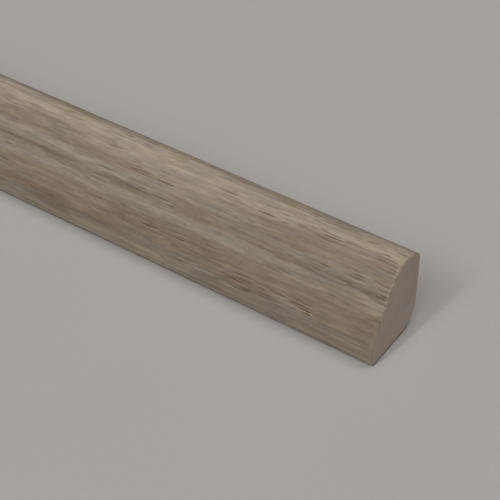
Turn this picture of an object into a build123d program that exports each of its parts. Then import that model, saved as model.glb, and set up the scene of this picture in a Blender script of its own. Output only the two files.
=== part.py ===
from build123d import *
import os
from math import hypot

# Inside corner moulding: one straight stick of solid trim, in millimetres.
# X runs along the stick, -Y faces the room and +Y the wall, and Z = 0 is the floor it lies on.
# The origin is at the middle of the stick, on the floor.

# Overall size
length = 2388.0
depth = 15.9
height = 19.05

# Crown: the rolled top. Its highest line stands in front of the wall face,
# and from there it falls back to the lip and forward to the shoulder.
crown_setback = 5.4
lip_drop = 2.65
shoulder_run = 1.6
shoulder_drop = 0.2
shoulder_radius = 3.0

# Front: a shallow convex face that leans back from a rounded nose,
# and a toe that rolls under from the nose to the floor.
face_radius = 40.0
nose_radius = 6.0
nose_height = 4.6
toe_setback = 0.7

# Relief: the bevel cut off the back corner, so that the stick seats in a rough or caulked corner
relief_depth = 3.0
relief_height = 3.9

# Easing of the long arrises, and of the sawn arris round each end
lip_easing = 0.8
toe_easing = 0.4
relief_easing = 0.5
end_easing = 0.25

# Places on the section, as (distance behind the nose, height above the floor)
nose = Vector(0, nose_height)
toe = Vector(toe_setback, 0)
heel = Vector(depth - relief_depth, 0)
relief_top = Vector(depth, relief_height)
lip = Vector(depth, height - lip_drop)
crown = Vector(depth - crown_setback, height)
shoulder = crown - Vector(shoulder_run, shoulder_drop)


def nose_end():
    """Point where the nose arc runs smoothly into the face arc, which ends at the shoulder.

    The face circle encloses the nose circle and touches it there, so the two centres are
    face_radius - nose_radius apart and the face circle's centre is face_radius from the shoulder.
    """
    nose_centre = nose + Vector(nose_radius, 0)
    to_shoulder = shoulder - nose_centre
    reach = hypot(to_shoulder.X, to_shoulder.Y)
    apart = face_radius - nose_radius
    along = (apart**2 + reach**2 - face_radius**2) / (2 * reach)
    across = (apart**2 - along**2) ** 0.5
    ahead = to_shoulder / reach
    aside = Vector(ahead.Y, -ahead.X)
    face_centre = nose_centre + ahead * along + aside * across
    return nose_centre + (nose_centre - face_centre) * (nose_radius / apart)


def at(place):
    """Picks the section's corner at the given place."""
    return section.vertices().sort_by_distance(place)[0]


with BuildSketch() as outline:
    with BuildLine():
        nose_arc = TangentArc(nose, nose_end(), tangent=(0, 1))
        TangentArc(nose_arc @ 1, shoulder, tangent=nose_arc % 1)
        TangentArc(crown, shoulder, tangent=(-1, 0))
        TangentArc(crown, lip, tangent=(1, 0))
        Polyline(lip, relief_top, heel, toe)
        TangentArc(nose, toe, tangent=(0, -1))
    make_face()

section = outline.sketch
for corner, radius in (
    (shoulder, shoulder_radius),
    (lip, lip_easing),
    (relief_top, relief_easing),
    (heel, relief_easing),
    (toe, toe_easing),
):
    section = fillet(at(corner), radius)

# The section stands across the stick, with its middle depth over the origin
across_stick = Plane(origin=(0, -depth / 2, 0), x_dir=(0, 1, 0), z_dir=(1, 0, 0))
stick = extrude(across_stick * section, length / 2, both=True)

# Both ends are sawn square, and the saw's arris is rubbed down
sawn_ends = stick.faces().filter_by(Axis.X)
corner_moulding = chamfer(sawn_ends.edges(), end_easing)

os.makedirs("parts", exist_ok=True)
export_step(corner_moulding, "parts/corner_moulding.step")
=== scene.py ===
from cmath import phase, rect
from math import ceil, cos, degrees, radians, sin

import bpy
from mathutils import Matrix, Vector


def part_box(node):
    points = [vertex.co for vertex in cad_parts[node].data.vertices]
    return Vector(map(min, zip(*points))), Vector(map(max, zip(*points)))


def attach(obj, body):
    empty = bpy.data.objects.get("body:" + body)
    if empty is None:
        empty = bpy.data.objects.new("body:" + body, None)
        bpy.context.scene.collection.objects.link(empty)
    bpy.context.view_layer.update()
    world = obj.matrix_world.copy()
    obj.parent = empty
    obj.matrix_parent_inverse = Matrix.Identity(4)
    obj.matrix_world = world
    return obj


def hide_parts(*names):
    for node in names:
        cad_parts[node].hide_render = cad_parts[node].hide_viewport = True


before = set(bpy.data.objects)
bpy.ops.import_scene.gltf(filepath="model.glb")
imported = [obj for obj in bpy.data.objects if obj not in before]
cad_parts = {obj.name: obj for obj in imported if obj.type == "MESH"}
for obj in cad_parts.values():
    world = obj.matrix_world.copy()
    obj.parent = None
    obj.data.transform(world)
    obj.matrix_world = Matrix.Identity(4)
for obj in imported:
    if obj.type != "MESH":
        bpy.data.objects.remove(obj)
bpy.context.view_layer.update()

# The skin: a printed greyed-oak film with pressed pores and a satin coat, glued over the room side.
# Its figure is streaks along the stick: cream at the crown and the toe, grey midway and tan between.
# Places in its nodes are millimetres along the stick from the near end, and up the room side from the toe.
low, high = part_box("corner_moulding")
MM = 1000.0
fine_relief = 0.00005

CREAM = (0.336, 0.277, 0.210, 1)
PALE = (0.272, 0.228, 0.181, 1)
GREY = (0.238, 0.196, 0.151, 1)
TAN = (0.224, 0.175, 0.127, 1)
ASH = (0.208, 0.170, 0.133, 1)
OLIVE = (0.200, 0.162, 0.112, 1)
BROWN = (0.180, 0.132, 0.089, 1)
RUST = (0.176, 0.116, 0.077, 1)
DARK = (0.094, 0.058, 0.030, 1)


def add(tree, kind, values=None, **settings):
    """Adds a node with its settings and fills its inputs: a socket is linked and a plain value is set."""
    node = tree.nodes.new(kind)
    for name, value in settings.items():
        setattr(node, name, value)
    for name, value in (values or {}).items():
        if isinstance(value, bpy.types.NodeSocket):
            tree.links.new(value, node.inputs[name])
        else:
            node.inputs[name].default_value = value
    return node


def outcome(tree, kind, values=None, **settings):
    """Adds a node and gives its first output."""
    return add(tree, kind, values, **settings).outputs[0]


def calc(tree, operation, *terms):
    """Adds one sum and gives its result."""
    return outcome(tree, "ShaderNodeMath", dict(enumerate(terms)), operation=operation)


def slope(tree, value, start, end, first=0.0, last=1.0):
    """Carries a value from one range to another along a smooth step."""
    limits = {"Value": value, "From Min": start, "From Max": end, "To Min": first, "To Max": last}
    return outcome(tree, "ShaderNodeMapRange", limits, interpolation_type="SMOOTHSTEP")


def tint(tree, amount, under, over):
    """Lays one colour over another by an amount."""
    layers = {0: amount, 6: under, 7: over}
    return add(tree, "ShaderNodeMix", layers, data_type="RGBA").outputs[2]


def swell(tree, colour, value, depth):
    """Lightens and darkens a colour by a value that lies about one half."""
    scale = calc(tree, "MULTIPLY_ADD", value, 2 * depth, 1 - depth)
    return outcome(tree, "ShaderNodeVectorMath", {0: colour, "Scale": scale}, operation="SCALE")


def shift(tree, value, reach):
    """Turns a value about one half into a shift of up to a reach either way."""
    return calc(tree, "MULTIPLY_ADD", value, 2 * reach, -reach)


def group(name, takes, gives):
    """Starts a node group, and returns it with what it takes and what it gives."""
    tree = bpy.data.node_groups.new(name, "ShaderNodeTree")
    for label, kind in takes.items():
        tree.interface.new_socket(label, in_out="INPUT", socket_type=kind)
    for label, kind in gives.items():
        tree.interface.new_socket(label, in_out="OUTPUT", socket_type=kind)
    return tree, add(tree, "NodeGroupInput").outputs, add(tree, "NodeGroupOutput").inputs


def finish_of(name):
    """Starts a material, and returns it with its tree and its shader."""
    material = bpy.data.materials.new(name)
    material.use_nodes = True
    return material, material.node_tree, material.node_tree.nodes["Principled BSDF"]


# A place squeezed so that what is read there comes out drawn along the first axis.
NUMBER, PLACE = "NodeSocketFloat", "NodeSocketVector"
squeeze_takes = {"Place": PLACE, "Length": NUMBER, "Width": NUMBER}
squeeze, squeeze_in, squeeze_out = group("squeeze", squeeze_takes, {"Place": PLACE})
squeeze_parts = add(squeeze, "ShaderNodeSeparateXYZ", {0: squeeze_in["Place"]}).outputs
squeezed = outcome(squeeze, "ShaderNodeCombineXYZ", {
    "X": calc(squeeze, "DIVIDE", squeeze_parts["X"], squeeze_in["Length"]),
    "Y": calc(squeeze, "DIVIDE", squeeze_parts["Y"], squeeze_in["Width"]),
    "Z": calc(squeeze, "DIVIDE", squeeze_parts["Z"], squeeze_in["Width"]),
})
squeeze.links.new(squeezed, squeeze_out["Place"])


def drawn_out(tree, place, length, width):
    """Squeezes a place by a length and a width."""
    size = {"Place": place, "Length": length, "Width": width}
    return outcome(tree, "ShaderNodeGroup", size, node_tree=squeeze)


def noise(tree, place, length, width, seed):
    """Reads cloudy noise about one half, with waves of a length and a width."""
    spot = drawn_out(tree, place, length, width)
    waves = {"Vector": spot, "W": seed, "Scale": 1.0, "Detail": 2.5, "Roughness": 0.5}
    return add(tree, "ShaderNodeTexNoise", waves, noise_dimensions="4D").outputs["Fac"]


def dashes(tree, place, length, width, share):
    """Reads a mask of separate dashes of a length and a width, in a share of the cells they lie in."""
    core = 0.18
    edge = 0.44
    faintest = 0.4
    spot = drawn_out(tree, place, length, width)
    grid = {"Vector": spot, "Scale": 1.0}
    cells = add(tree, "ShaderNodeTexVoronoi", grid, voronoi_dimensions="2D").outputs
    chance = add(tree, "ShaderNodeSeparateColor", {0: cells["Color"]}).outputs
    body = slope(tree, cells["Distance"], core, edge, 1.0, 0.0)
    picked = calc(tree, "LESS_THAN", chance["Red"], share)
    strength = slope(tree, chance["Green"], 0.0, 1.0, faintest, 1.0)
    return calc(tree, "MULTIPLY", calc(tree, "MULTIPLY", body, picked), strength)


# One streak of the printed figure: a soft-edged stretch along the stick, about a height above the toe.
solid_share = 0.3
STREAK = ("Along", "Around", "Start", "End", "Height", "Half", "Fade")
streak, streak_in, streak_out = group("streak", dict.fromkeys(STREAK, NUMBER), {"Mask": NUMBER})
streak_off = calc(streak, "ABSOLUTE", calc(streak, "SUBTRACT", streak_in["Around"], streak_in["Height"]))
streak_core = calc(streak, "MULTIPLY", streak_in["Half"], solid_share)
streak_across = slope(streak, streak_off, streak_core, streak_in["Half"], 1.0, 0.0)
streak_before = calc(streak, "SUBTRACT", streak_in["Start"], streak_in["Fade"])
streak_after = calc(streak, "ADD", streak_in["End"], streak_in["Fade"])
streak_begun = slope(streak, streak_in["Along"], streak_before, streak_in["Start"])
streak_ended = slope(streak, streak_in["Along"], streak_in["End"], streak_after, 1.0, 0.0)
streak_length = calc(streak, "MULTIPLY", streak_begun, streak_ended)
streak.links.new(calc(streak, "MULTIPLY", streak_length, streak_across), streak_out["Mask"])

skin, skin_tree, skin_shader = finish_of("oak_skin")
flow = add(skin_tree, "ShaderNodeUVMap", uv_map="grain_flow").outputs[0]
flow_parts = add(skin_tree, "ShaderNodeSeparateXYZ", {0: flow}).outputs
along = calc(skin_tree, "MULTIPLY", calc(skin_tree, "SUBTRACT", high.x, flow_parts["X"]), MM)
around = calc(skin_tree, "MULTIPLY", flow_parts["Y"], MM)
straight = outcome(skin_tree, "ShaderNodeCombineXYZ", {"X": along, "Y": around})

# The grain wanders a little, so the figure is read at a shifted height.
# The finer marks also run slightly out of the stick's line.
run_out = 0.014
sway = shift(skin_tree, noise(skin_tree, straight, length=42.0, width=7.0, seed=3.0), reach=0.95)
waver = shift(skin_tree, noise(skin_tree, straight, length=15.0, width=3.0, seed=6.0), reach=0.6)
ripple = shift(skin_tree, noise(skin_tree, straight, length=4.0, width=0.8, seed=8.0), reach=0.8)
wander = calc(skin_tree, "ADD", around, calc(skin_tree, "ADD", sway, waver))
height_read = calc(skin_tree, "ADD", wander, ripple)
grain_line = calc(skin_tree, "MULTIPLY_ADD", along, run_out, wander)
grain = outcome(skin_tree, "ShaderNodeCombineXYZ", {"X": along, "Y": grain_line})

# Ground colours by height above the toe.
bands = (
    (0.0, CREAM), (1.6, CREAM), (3.4, PALE), (5.0, PALE), (7.0, TAN), (11.0, TAN), (13.0, GREY),
    (15.0, ASH), (17.0, GREY), (19.0, TAN), (22.6, CREAM), (25.4, CREAM), (27.4, TAN),
)
top_band = 30.0
ground = add(skin_tree, "ShaderNodeValToRGB", {0: calc(skin_tree, "DIVIDE", height_read, top_band)})
stops = ground.color_ramp.elements
while len(stops) < len(bands):
    stops.new(1.0)
for stop, (band_height, tone) in zip(stops, bands):
    stop.position = band_height / top_band
    stop.color = tone
colour = ground.outputs["Color"]

# Soft streaks all over, some browner and some greyer than the ground: their length, width and seed,
# where in the noise they begin and are full, and their tone and strength.
soft_streaks = (
    (24.0, 1.1, 11.0, 0.5, 0.68, BROWN, 0.7),
    (20.0, 0.9, 23.0, 0.52, 0.7, GREY, 0.6),
    (18.0, 0.7, 31.0, 0.56, 0.72, CREAM, 0.4),
)
for streak_long, streak_wide, seed, begun, full, tone, strength in soft_streaks:
    waves = noise(skin_tree, grain, streak_long, streak_wide, seed)
    colour = tint(skin_tree, slope(skin_tree, waves, begun, full, 0.0, strength), colour, tone)

# The figure's own streaks: from and to along the stick, height, half width, tone and strength.
# The print comes round again each sixth of the stick, and starts ahead of the near end.
figure = (
    (44.0, 75.0, 23.2, 3.0, CREAM, 1.0),
    (36.0, 55.0, 19.8, 1.9, CREAM, 0.3),
    (88.0, 115.0, 23.4, 2.0, CREAM, 0.4),
    (70.0, 84.0, 26.0, 1.2, OLIVE, 0.5),
    (12.0, 38.0, 25.4, 1.5, OLIVE, 0.7),
    (-15.0, 8.0, 25.4, 1.6, CREAM, 0.6),
    (64.0, 95.0, 21.6, 1.6, TAN, 0.6),
    (75.0, 84.0, 20.8, 1.2, BROWN, 0.55),
    (86.0, 115.0, 18.8, 1.8, BROWN, 0.6),
    (56.0, 86.0, 18.4, 1.0, BROWN, 0.55),
    (-15.0, 58.0, 21.8, 2.8, TAN, 0.45),
    (-15.0, 18.0, 20.4, 2.3, RUST, 1.0),
    (-15.0, 26.0, 18.4, 3.0, BROWN, 1.0),
    (18.0, 34.0, 19.6, 1.2, BROWN, 0.4),
    (62.0, 94.0, 16.1, 1.3, PALE, 0.5),
    (54.0, 115.0, 14.8, 0.8, DARK, 0.36),
    (20.0, 48.0, 15.5, 2.0, BROWN, 0.7),
    (-15.0, 16.0, 15.0, 1.2, DARK, 0.5),
    (30.0, 62.0, 13.0, 1.2, PALE, 0.7),
    (66.0, 98.0, 12.4, 1.7, PALE, 0.75),
    (60.0, 92.0, 9.4, 2.6, TAN, 0.6),
    (77.0, 90.0, 6.4, 1.3, RUST, 0.65),
    (74.0, 79.0, 4.4, 1.6, RUST, 0.7),
    (37.0, 60.0, 9.0, 2.4, BROWN, 0.6),
    (26.0, 33.0, 6.0, 1.6, RUST, 0.7),
    (33.5, 36.0, 7.4, 0.8, PALE, 0.8),
    (-15.0, 42.0, 9.8, 2.4, BROWN, 0.45),
    (57.0, 95.0, 17.0, 1.0, PALE, 0.4),
    (42.0, 68.0, 2.8, 2.4, CREAM, 1.0),
    (58.0, 79.0, 5.6, 1.6, RUST, 0.6),
    (-15.0, 18.0, 4.8, 2.0, PALE, 0.8),
    (4.0, 20.0, 11.0, 1.0, BROWN, 0.35),
    (-15.0, 26.0, 11.0, 1.8, TAN, 0.7),
    (-15.0, 2.0, 13.2, 1.2, PALE, 0.7),
)
streak_fade = 5.0
print_lead = 100.0
prints_per_stick = 6
print_repeat = (high.x - low.x) * MM / prints_per_stick
lap = calc(skin_tree, "FLOORED_MODULO", calc(skin_tree, "ADD", along, print_lead), print_repeat)
along_print = calc(skin_tree, "SUBTRACT", lap, print_lead)
breaks = noise(skin_tree, grain, length=8.0, width=0.7, seed=41.0)
broken = slope(skin_tree, breaks, start=0.36, end=0.58, first=0.3, last=1.0)


def stretch_mask(start, end, stretch_height, half):
    """Reads the mask of one stretch of the print, about a height above the toe."""
    place = {"Along": along_print, "Around": height_read, "Start": start, "End": end}
    size = {"Height": stretch_height, "Half": half, "Fade": streak_fade}
    return outcome(skin_tree, "ShaderNodeGroup", place | size, node_tree=streak)


for start, end, streak_height, half, tone, strength in figure:
    mask = stretch_mask(start, end, streak_height, half)
    amount = calc(skin_tree, "MULTIPLY", calc(skin_tree, "MULTIPLY", mask, strength), broken)
    colour = tint(skin_tree, amount, colour, tone)

# Blotches, fine fibres and flecks, then pores: dark dashes, the long ones with a painted highlight beside
# them.
# Pores gather in clusters, and more closely in the busy stretches:
# from and to along the stick, height and half width.
busy = (
    (-15.0, 9.0, 23.8, 2.4),
    (-15.0, 30.0, 21.2, 2.0),
    (-15.0, 8.0, 15.8, 2.6),
    (-15.0, 6.0, 11.6, 1.8),
    (12.0, 42.0, 6.4, 3.2),
    (38.0, 60.0, 9.4, 2.8),
    (48.0, 60.0, 18.8, 1.0),
)
LONG_PORE = {"length": 7.0, "width": 0.64, "share": 0.42}
SHORT_PORE = {"length": 3.4, "width": 0.5, "share": 0.3}
pore_strength = 0.72
painted_glint_strength = 0.45
painted_glint_offset = (0.8, 0.24, 0.0)
blotches = noise(skin_tree, grain, length=9.0, width=0.9, seed=47.0)
fibres = noise(skin_tree, grain, length=4.4, width=0.46, seed=53.0)
flecks = noise(skin_tree, grain, length=1.5, width=0.65, seed=59.0)
for marks, mark_depth in ((blotches, 0.45), (fibres, 0.32), (flecks, 0.2)):
    colour = swell(skin_tree, colour, marks, mark_depth)
clusters = noise(skin_tree, grain, length=14.0, width=2.2, seed=61.0)
gathered = slope(skin_tree, clusters, start=0.48, end=0.66, first=0.0, last=0.8)
for stretch in busy:
    gathered = calc(skin_tree, "MAXIMUM", gathered, stretch_mask(*stretch))
# Painted highlights: a cream dash laid just beside each long pore, standing in for the glint off its
# pressed edge.
painted_glint_side = outcome(skin_tree, "ShaderNodeVectorMath", {0: grain, 1: painted_glint_offset}, operation="ADD")
long_pores = dashes(skin_tree, grain, **LONG_PORE)
short_pores = dashes(skin_tree, grain, **SHORT_PORE)
pores = calc(skin_tree, "MULTIPLY", calc(skin_tree, "MAXIMUM", long_pores, short_pores), gathered)
painted_glints = calc(skin_tree, "MULTIPLY", dashes(skin_tree, painted_glint_side, **LONG_PORE), gathered)
colour = tint(skin_tree, calc(skin_tree, "MULTIPLY", painted_glints, painted_glint_strength), colour, CREAM)
colour = tint(skin_tree, calc(skin_tree, "MULTIPLY", pores, pore_strength), colour, DARK)

# The print runs warmer and cooler in patches.
red_least = 0.925
red_swing = 0.15
blue_most = 1.1
blue_swing = -0.22
warmth = noise(skin_tree, grain, length=12.0, width=2.6, seed=83.0)
red_share = calc(skin_tree, "MULTIPLY_ADD", warmth, red_swing, red_least)
blue_share = calc(skin_tree, "MULTIPLY_ADD", warmth, blue_swing, blue_most)
shares = outcome(skin_tree, "ShaderNodeCombineXYZ", {"X": red_share, "Y": 1.0, "Z": blue_share})
colour = outcome(skin_tree, "ShaderNodeVectorMath", {0: colour, 1: shares}, operation="MULTIPLY")

# Painted shade darkens the arris that the stick lies on, standing in for the contact shadow along the
# floor.
painted_toe_shade = slope(skin_tree, around, start=0.4, end=1.1, first=0.5, last=0.0)
colour = tint(skin_tree, painted_toe_shade, colour, DARK)

# At the near end the saw leaves the film's edge a little pale and ragged, and chipped in places.
edge_least = -0.3
edge_spread = 2.4
edge_waves = noise(skin_tree, straight, length=2.0, width=1.8, seed=71.0)
edge_reach = calc(skin_tree, "MULTIPLY_ADD", edge_waves, edge_spread, edge_least)
edge_wear = slope(skin_tree, along, start=0.0, end=edge_reach, first=0.7, last=0.0)
chips = noise(skin_tree, straight, length=3.0, width=2.2, seed=73.0)
chipped = slope(skin_tree, chips, start=0.44, end=0.58, first=0.2, last=1.0)
colour = tint(skin_tree, calc(skin_tree, "MULTIPLY", edge_wear, chipped), colour, CREAM)
skin_tree.links.new(colour, skin_shader.inputs["Base Color"])

# Pores are pressed in and fibres stand a little proud; both are less glossy than the satin between them.
satin = 0.40
pore_matt = 0.15
fibre_matt = 0.16
fibre_relief = 0.4
skin_relief = calc(skin_tree, "SUBTRACT", calc(skin_tree, "MULTIPLY", fibres, fibre_relief), pores)
skin_bump = {"Height": skin_relief, "Strength": 0.6, "Distance": fine_relief}
skin_tree.links.new(outcome(skin_tree, "ShaderNodeBump", skin_bump), skin_shader.inputs["Normal"])
pore_gloss = calc(skin_tree, "MULTIPLY_ADD", pores, pore_matt, satin)
skin_gloss = calc(skin_tree, "MULTIPLY_ADD", fibres, fibre_matt, pore_gloss)
skin_tree.links.new(skin_gloss, skin_shader.inputs["Roughness"])

# The board: the fine pressed fibre that the stick is milled from, one plain matt body without layers.
# It is bare on the cut ends and on most of the hidden sides, and slightly mottled.
# Painted shade darkens it along the arris that lies on the floor, standing in for the contact shadow there.
BOARD = (0.447, 0.372, 0.311, 1)
BOARD_DEEP = (0.416, 0.342, 0.285, 1)
CONTACT_SHADE = (0.060, 0.050, 0.042, 1)
board_matt = 0.7
mottle_matt = 0.15


def in_millimetres(tree):
    """Reads the place on the object, in millimetres."""
    place = add(tree, "ShaderNodeTexCoord").outputs["Object"]
    return outcome(tree, "ShaderNodeVectorMath", {0: place, "Scale": MM}, operation="SCALE")


board, board_tree, board_shader = finish_of("bare_board")
board_spot = in_millimetres(board_tree)
mottle = noise(board_tree, board_spot, length=4.0, width=4.0, seed=5.0)
specks = noise(board_tree, board_spot, length=0.4, width=0.4, seed=9.0)
board_colour = tint(board_tree, slope(board_tree, mottle, start=0.35, end=0.7), BOARD, BOARD_DEEP)
board_colour = swell(board_tree, board_colour, specks, depth=0.22)
board_height = add(board_tree, "ShaderNodeSeparateXYZ", {0: board_spot}).outputs["Z"]
# Painted contact shade: the board grows darker towards the floor over its lowest millimetre.
painted_contact_shade = slope(board_tree, board_height, start=0.2, end=0.9, first=0.75, last=0.0)
board_colour = tint(board_tree, painted_contact_shade, board_colour, CONTACT_SHADE)
board_tree.links.new(board_colour, board_shader.inputs["Base Color"])
board_bump = {"Height": specks, "Strength": 0.4, "Distance": fine_relief}
board_tree.links.new(outcome(board_tree, "ShaderNodeBump", board_bump), board_shader.inputs["Normal"])
board_gloss = calc(board_tree, "MULTIPLY_ADD", mottle, mottle_matt, board_matt)
board_tree.links.new(board_gloss, board_shader.inputs["Roughness"])

# The stick: one length of trim, milled from the board to a moulded section and cut square at both ends.
# The skin is folded round the toe and the lip onto the hidden faces; the stick is stored lying on its flat.
# Places on its section are complex numbers: metres behind the nose, and metres above the floor.
length = high.x - low.x
depth = high.y - low.y
height = high.z - low.z
crown_setback = 0.0054
lip_drop = 0.00265
shoulder_run = 0.0016
shoulder_drop = 0.0002
shoulder_radius = 0.003
face_radius = 0.040
nose_radius = 0.006
nose_height = 0.0046
toe_setback = 0.0007
relief_depth = 0.003
relief_height = 0.0039
lip_easing = 0.0008
toe_easing = 0.0004
relief_easing = 0.0005
end_easing = 0.00025
skin_fold = 0.003


def radius_through(run, drop):
    """Radius of the arc that leaves level and falls by drop over run."""
    return (run**2 + drop**2) / (2 * drop)


def between(hub_a, reach_a, hub_b, reach_b):
    """Point at given reaches from two hubs, on the right of the way from the first to the second."""
    apart = hub_b - hub_a
    ahead = (reach_a**2 - reach_b**2 + abs(apart) ** 2) / (2 * abs(apart))
    aside = (reach_a**2 - ahead**2) ** 0.5
    return hub_a + apart / abs(apart) * (ahead - 1j * aside)


def facing(wide_hub, tight_hub):
    """Direction, in degrees, that the surface faces where a wide arc runs into a tighter one."""
    return degrees(phase(tight_hub - wide_hub)) % 360


crown = depth - crown_setback + 1j * height
shoulder = crown - shoulder_run - 1j * shoulder_drop
toe_radius = radius_through(nose_height, toe_setback)
front_radius = radius_through(shoulder_run, shoulder_drop)
back_radius = radius_through(crown_setback, lip_drop)
toe_hub = toe_radius + 1j * nose_height
nose_hub = nose_radius + 1j * nose_height
face_hub = between(nose_hub, face_radius - nose_radius, shoulder, face_radius)
front_hub = crown - 1j * front_radius
back_hub = crown - 1j * back_radius
shoulder_hub = between(face_hub, face_radius - shoulder_radius, front_hub, front_radius - shoulder_radius)

lip_reach = back_radius - lip_easing
lip_aside = depth - lip_easing - back_hub.real
lip_hub = depth - lip_easing + 1j * (back_hub.imag + (lip_reach**2 - lip_aside**2) ** 0.5)
ease_reach = toe_radius - toe_easing
ease_below = nose_height - toe_easing
ease_hub = toe_hub.real - (ease_reach**2 - ease_below**2) ** 0.5 + 1j * toe_easing
relief_way = rect(1.0, phase(relief_height - 1j * relief_depth))
relief_rise = relief_easing * (relief_way.real - 1) / relief_way.imag
relief_hub = depth - relief_easing + 1j * (relief_height + relief_rise)
heel_inset = relief_easing * (1 + relief_way.imag) / relief_way.real
heel_hub = depth - relief_depth - heel_inset + 1j * relief_easing

DOWN, ROOMWARD, UP, WALLWARD, DOWN_AGAIN = 270.0, 180.0, 90.0, 0.0, -90.0
toe_to_ease = facing(toe_hub, ease_hub)
nose_to_face = facing(face_hub, nose_hub)
face_to_shoulder = facing(face_hub, shoulder_hub)
shoulder_to_front = facing(front_hub, shoulder_hub)
back_to_lip = facing(back_hub, lip_hub)
relief_faces = degrees(phase(relief_way))
skin_arcs = (
    (ease_hub, toe_easing, DOWN, toe_to_ease),
    (toe_hub, toe_radius, toe_to_ease, ROOMWARD),
    (nose_hub, nose_radius, ROOMWARD, nose_to_face),
    (face_hub, face_radius, nose_to_face, face_to_shoulder),
    (shoulder_hub, shoulder_radius, face_to_shoulder, shoulder_to_front),
    (front_hub, front_radius, shoulder_to_front, UP),
    (back_hub, back_radius, UP, back_to_lip),
    (lip_hub, lip_easing, back_to_lip, WALLWARD),
)
board_arcs = (
    (relief_hub, relief_easing, WALLWARD, relief_faces),
    (heel_hub, relief_easing, relief_faces, DOWN_AGAIN),
)
arc_step = 0.0004
turn_step = 7.0
fewest_steps = 2


def bends(arcs):
    """Points along a chain of arcs, which straight runs join, each with the direction it faces."""
    points = []
    for hub, radius, start, end in arcs:
        turn = start - end
        steps = ceil(max(fewest_steps, radius * radians(turn) / arc_step, turn / turn_step))
        for i in range(steps + 1):
            outward = rect(1.0, radians(start - turn * i / steps))
            points.append((hub + radius * outward, outward))
    return points


under_fold = (ease_hub.real + skin_fold, rect(1.0, radians(DOWN)))
back_fold = (depth + 1j * (lip_hub.imag - skin_fold), rect(1.0, radians(WALLWARD)))
skin_points = [under_fold, *bends(skin_arcs), back_fold]
board_points = bends(board_arcs)
outline = []
girth = []
skinned = []
inward = []
same_place = 1e-7
way_round = -skin_fold
for points, on_skin in ((skin_points, 1.0), (board_points, 0.0)):
    for point, outward in points:
        step = abs(point - outline[-1]) if outline else 1.0
        if step < same_place:
            continue
        way_round += step if outline else 0.0
        outline.append(point)
        girth.append(way_round)
        skinned.append(on_skin)
        inward += (0, -outward.real, -outward.imag)

# The sweep turns a section half round, so the section is drawn half round to start with.
section_mesh = bpy.data.meshes.new("section")
section_places = [(depth / 2 - point.real, -point.imag, 0) for point in outline]
section_edges = [(i, (i + 1) % len(outline)) for i in range(len(outline))]
section_mesh.from_pydata(section_places, section_edges, [])
section_mesh.attributes.new("girth", "FLOAT", "POINT").data.foreach_set("value", girth)
section_mesh.attributes.new("skinned", "FLOAT", "POINT").data.foreach_set("value", skinned)
section_mesh.attributes.new("inward", "FLOAT_VECTOR", "POINT").data.foreach_set("vector", inward)
section = bpy.data.objects.new("section", section_mesh)
bpy.context.scene.collection.objects.link(section)

# The sweep carries the section along the stick, draws it in at the rubbed end arrises,
# and stores the skin's flow: along the stick, and round it.
sweep = bpy.data.node_groups.new("swept_stick", "GeometryNodeTree")
sweep.is_modifier = True
SWEEP_TAKES = {
    "Section": "NodeSocketObject", "Length": NUMBER, "Easing": NUMBER, "Rings": "NodeSocketInt",
    "Skin": "NodeSocketMaterial", "Board": "NodeSocketMaterial",
}
dials = {}
for label, kind in SWEEP_TAKES.items():
    dials[label] = sweep.interface.new_socket(label, in_out="INPUT", socket_type=kind).identifier
sweep.interface.new_socket("Stick", in_out="OUTPUT", socket_type="NodeSocketGeometry")
given = add(sweep, "NodeGroupInput").outputs
mostly_along = 0.5
fully_skinned = 0.99


def carried(name, kind):
    """Reads a value that the section's points carry along the sweep."""
    return outcome(sweep, "GeometryNodeInputNamedAttribute", {"Name": name}, data_type=kind)


drawn = add(sweep, "GeometryNodeObjectInfo", {"Object": given["Section"]}).outputs["Geometry"]
profile = outcome(sweep, "GeometryNodeMeshToCurve", {"Mesh": drawn})
easing_back = calc(sweep, "MULTIPLY", given["Easing"], -1.0)
half_length = calc(sweep, "MULTIPLY_ADD", given["Length"], 0.5, easing_back)
half_back = calc(sweep, "MULTIPLY", half_length, -1.0)
far_end = outcome(sweep, "ShaderNodeCombineXYZ", {"X": half_back})
near_end = outcome(sweep, "ShaderNodeCombineXYZ", {"X": half_length})
line = outcome(sweep, "GeometryNodeCurvePrimitiveLine", {"Start": far_end, "End": near_end})
ringed = outcome(sweep, "GeometryNodeResampleCurve", {"Curve": line, "Count": given["Rings"]})
spine = outcome(sweep, "GeometryNodeSetCurveNormal", {"Curve": ringed}, mode="Z_UP")
run = {"Curve": spine, "Profile Curve": profile, "Fill Caps": True}
inside_out = outcome(sweep, "GeometryNodeCurveToMesh", run)
swept = outcome(sweep, "GeometryNodeFlipFaces", {"Mesh": inside_out})
way_out = add(sweep, "ShaderNodeSeparateXYZ", {0: outcome(sweep, "GeometryNodeInputNormal")}).outputs
cut_face = calc(sweep, "GREATER_THAN", calc(sweep, "ABSOLUTE", way_out["X"]), mostly_along)
push = {"Mesh": swept, "Selection": cut_face, "Offset Scale": given["Easing"]}
pushed = add(sweep, "GeometryNodeExtrudeMesh", push).outputs
aim = carried("inward", "FLOAT_VECTOR")
rub = outcome(sweep, "ShaderNodeVectorMath", {0: aim, "Scale": given["Easing"]}, operation="SCALE")
draw_in = {"Geometry": pushed["Mesh"], "Selection": pushed["Top"], "Offset": rub}
eased = outcome(sweep, "GeometryNodeSetPosition", draw_in)

spot = add(sweep, "ShaderNodeSeparateXYZ", {0: outcome(sweep, "GeometryNodeInputPosition")}).outputs
flow_pair = outcome(sweep, "ShaderNodeCombineXYZ", {"X": spot["X"], "Y": carried("girth", "FLOAT")})
flow_map = {"Geometry": eased, "Name": "grain_flow", "Value": flow_pair}
mapped = outcome(sweep, "GeometryNodeStoreNamedAttribute", flow_map, data_type="FLOAT2", domain="CORNER")

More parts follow.
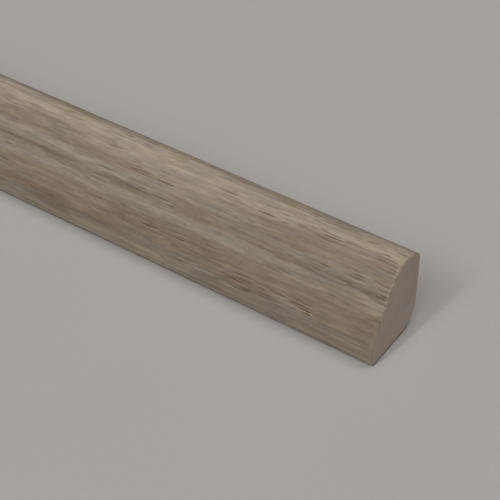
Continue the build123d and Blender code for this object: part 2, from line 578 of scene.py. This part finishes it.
off_skin = calc(sweep, "LESS_THAN", carried("skinned", "FLOAT"), fully_skinned)
bare = calc(sweep, "MAXIMUM", pushed["Top"], off_skin)
whole = outcome(sweep, "GeometryNodeRealizeInstances", {"Geometry": mapped})
wrapped = outcome(sweep, "GeometryNodeSetMaterial", {"Geometry": whole, "Material": given["Skin"]})
bared = {"Geometry": wrapped, "Selection": bare, "Material": given["Board"]}
add(sweep, "NodeGroupOutput", {"Stick": outcome(sweep, "GeometryNodeSetMaterial", bared)})

rings = 49
sharp_turn = 30.0
maker = bpy.data.objects.new("maker", bpy.data.meshes.new("maker"))
bpy.context.scene.collection.objects.link(maker)
modifier = maker.modifiers.new("sweep", "NODES")
modifier.node_group = sweep
settings = {
    "Section": section, "Length": length, "Easing": end_easing, "Rings": rings,
    "Skin": skin, "Board": board,
}
for label, value in settings.items():
    modifier[dials[label]] = value
made = maker.evaluated_get(bpy.context.evaluated_depsgraph_get())
stick_mesh = bpy.data.meshes.new_from_object(made)
stick_mesh.name = "stick"
stick_mesh.shade_smooth()
stick_mesh.set_sharp_from_angle(angle=radians(sharp_turn))
bpy.data.objects.remove(maker)
bpy.data.objects.remove(section)
stick = bpy.data.objects.new("stick", stick_mesh)
bpy.context.scene.collection.objects.link(stick)
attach(stick, "root")
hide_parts("corner_moulding")

# The floor: a plain pale grey board that the stick is photographed on, matt and faintly clouded.
# It is part of the stage, not of the object.
FLOOR = (0.366, 0.346, 0.331)
floor_half = 30.0
floor_matt = 0.7
cloud_matt = 0.1
corners = [(floor_half * x, floor_half * y, 0) for x, y in ((-1, -1), (1, -1), (1, 1), (-1, 1))]
floor_mesh = bpy.data.meshes.new("floor")
floor_mesh.from_pydata(corners, [], [(0, 1, 2, 3)])
floor = bpy.data.objects.new("floor", floor_mesh)
bpy.context.scene.collection.objects.link(floor)
pale, pale_tree, pale_shader = finish_of("pale_floor")
pale_spot = in_millimetres(pale_tree)
clouds = noise(pale_tree, pale_spot, length=60.0, width=60.0, seed=2.0)
pale_grain = noise(pale_tree, pale_spot, length=0.8, width=0.8, seed=4.0)
pale_colour = swell(pale_tree, FLOOR, clouds, depth=0.03)
pale_colour = swell(pale_tree, pale_colour, pale_grain, depth=0.04)
pale_tree.links.new(pale_colour, pale_shader.inputs["Base Color"])
pale_bump = {"Height": pale_grain, "Strength": 0.1, "Distance": fine_relief}
pale_tree.links.new(outcome(pale_tree, "ShaderNodeBump", pale_bump), pale_shader.inputs["Normal"])
pale_gloss = calc(pale_tree, "MULTIPLY_ADD", clouds, cloud_matt, floor_matt)
pale_tree.links.new(pale_gloss, pale_shader.inputs["Roughness"])
floor_mesh.materials.append(pale)

# The light: a wide panel in front of the stick, one overhead beyond the cut end, and a dim room.
# Both panels are large and far off, so the stick is lit evenly and its shadow is soft.
# A narrow lamp at the front panel adds the crisp edge that shows in the shadow.
room_glow = 0.12
world = bpy.data.worlds.new("room")
world.use_nodes = True
room = world.node_tree.nodes["Background"].inputs
room["Color"].default_value = (1, 1, 1, 1)
room["Strength"].default_value = room_glow
bpy.context.scene.world = world
bpy.context.scene.view_settings.view_transform = "Standard"


def panel(name, turn, rise, away, wide, tall, watts):
    """Lights the cut end with a flat panel, at a turn from +X and a rise from the floor."""
    light = bpy.data.lights.new(name, "AREA")
    light.shape = "RECTANGLE"
    light.size = wide
    light.size_y = tall
    light.energy = watts
    holder = bpy.data.objects.new(name, light)
    flat = cos(radians(rise))
    way = Vector((flat * cos(radians(turn)), flat * sin(radians(turn)), sin(radians(rise))))
    holder.location = Vector((high.x, 0, 0)) + way * away
    holder.rotation_euler = way.to_track_quat("Z", "Y").to_euler()
    bpy.context.scene.collection.objects.link(holder)


panel("front_panel", turn=266.0, rise=47.0, away=9.0, wide=4.82, tall=6.43, watts=275.0)
panel("front_lamp", turn=258.5, rise=47.0, away=9.0, wide=0.25, tall=3.0, watts=164.0)
panel("ceiling_panel", turn=15.0, rise=78.0, away=9.0, wide=7.07, tall=7.07, watts=516.0)

# The camera: a long lens that looks down at the cut end from the room side, at the photo's angle.
# It stands beyond the cut end, before the stick and above the floor.
lens = bpy.data.cameras.new("camera")
lens.sensor_width = 36.0
lens.lens = 105.35
lens.clip_start = 0.01
look_down = 41.56
look_left = 34.34
stands_beyond = 0.08647
stands_before = 0.17382
stands_above = 0.19382
camera = bpy.data.objects.new("camera", lens)
camera.location = (high.x + stands_beyond, -stands_before, stands_above)
camera.rotation_euler = (radians(90 - look_down), 0, radians(look_left))
bpy.context.scene.collection.objects.link(camera)
bpy.context.scene.camera = camera
